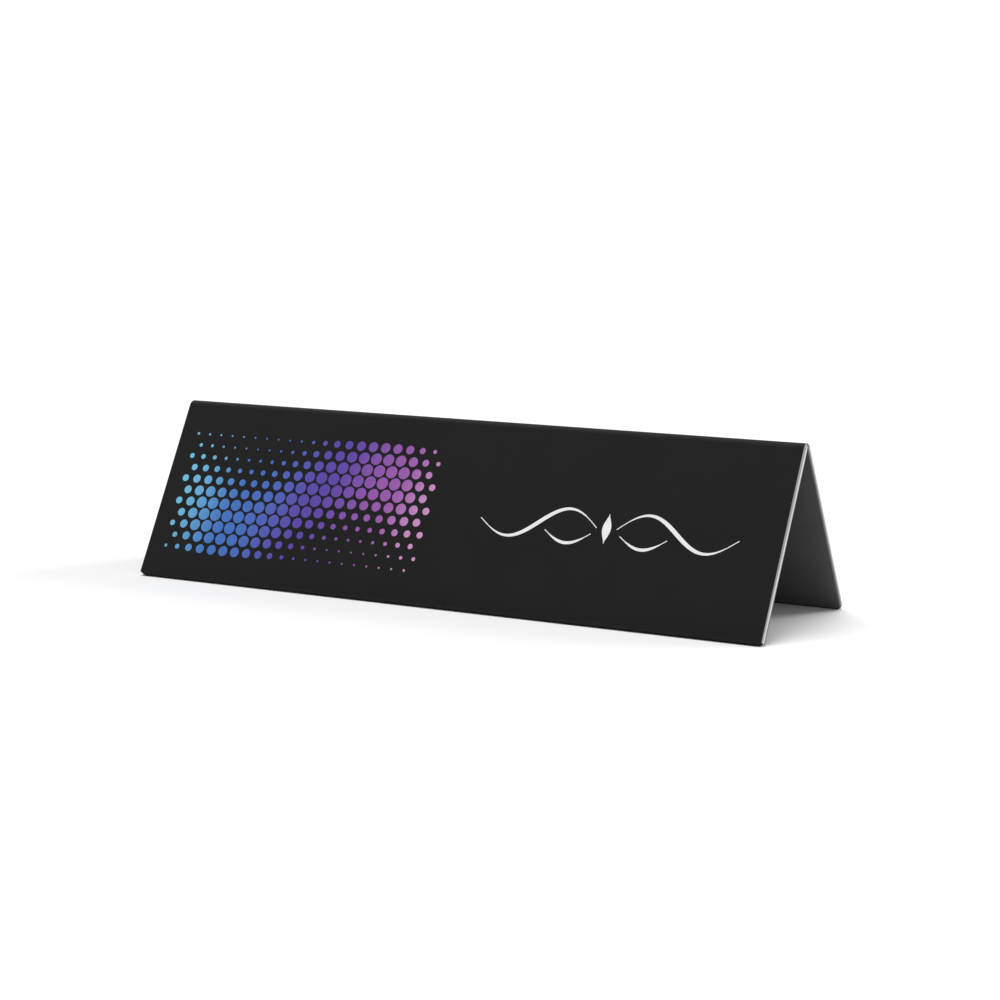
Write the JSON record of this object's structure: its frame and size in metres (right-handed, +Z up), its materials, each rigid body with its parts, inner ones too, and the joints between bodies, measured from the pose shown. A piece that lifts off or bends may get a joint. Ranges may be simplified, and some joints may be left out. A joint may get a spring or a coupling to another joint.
{
  "type": "desk name plate",
  "caption": "Tent-shaped desk name plate: a thin black composite panel, grooved inside and folded along its crest, with pale cut ends and anti-slip foot edges.",
  "frame": {"origin": "on the desk, in the middle of the footprint", "axes": "+X along the plate, -Y out of the front face, +Z up"},
  "size_m": [0.21, 0.0594, 0.052],
  "materials": {
    "black_lacquer": "matte",
    "pale_core": "matte",
    "grey_coat": "matte",
    "black_rubber": "matte"
  },
  "bodies": {
    "front_panel": {"front_outer_skin": "black_lacquer", "fold_skin": "black_lacquer", "front_core": "pale_core", "front_inner_skin": "grey_coat", "front_foot_strip": "black_rubber"},
    "rear_panel": {"rear_outer_skin": "black_lacquer", "rear_core": "pale_core", "rear_inner_skin": "grey_coat", "rear_foot_strip": "black_rubber"}
  },
  "joints": [
    {"name": "fold", "type": "hinge", "parent": "front_panel", "child": "rear_panel", "pos_m": [0, 0, 0.05168], "axis": [1, 0, 0], "range_deg": [0, 122], "deforming": ["fold_skin"]}
  ]
}
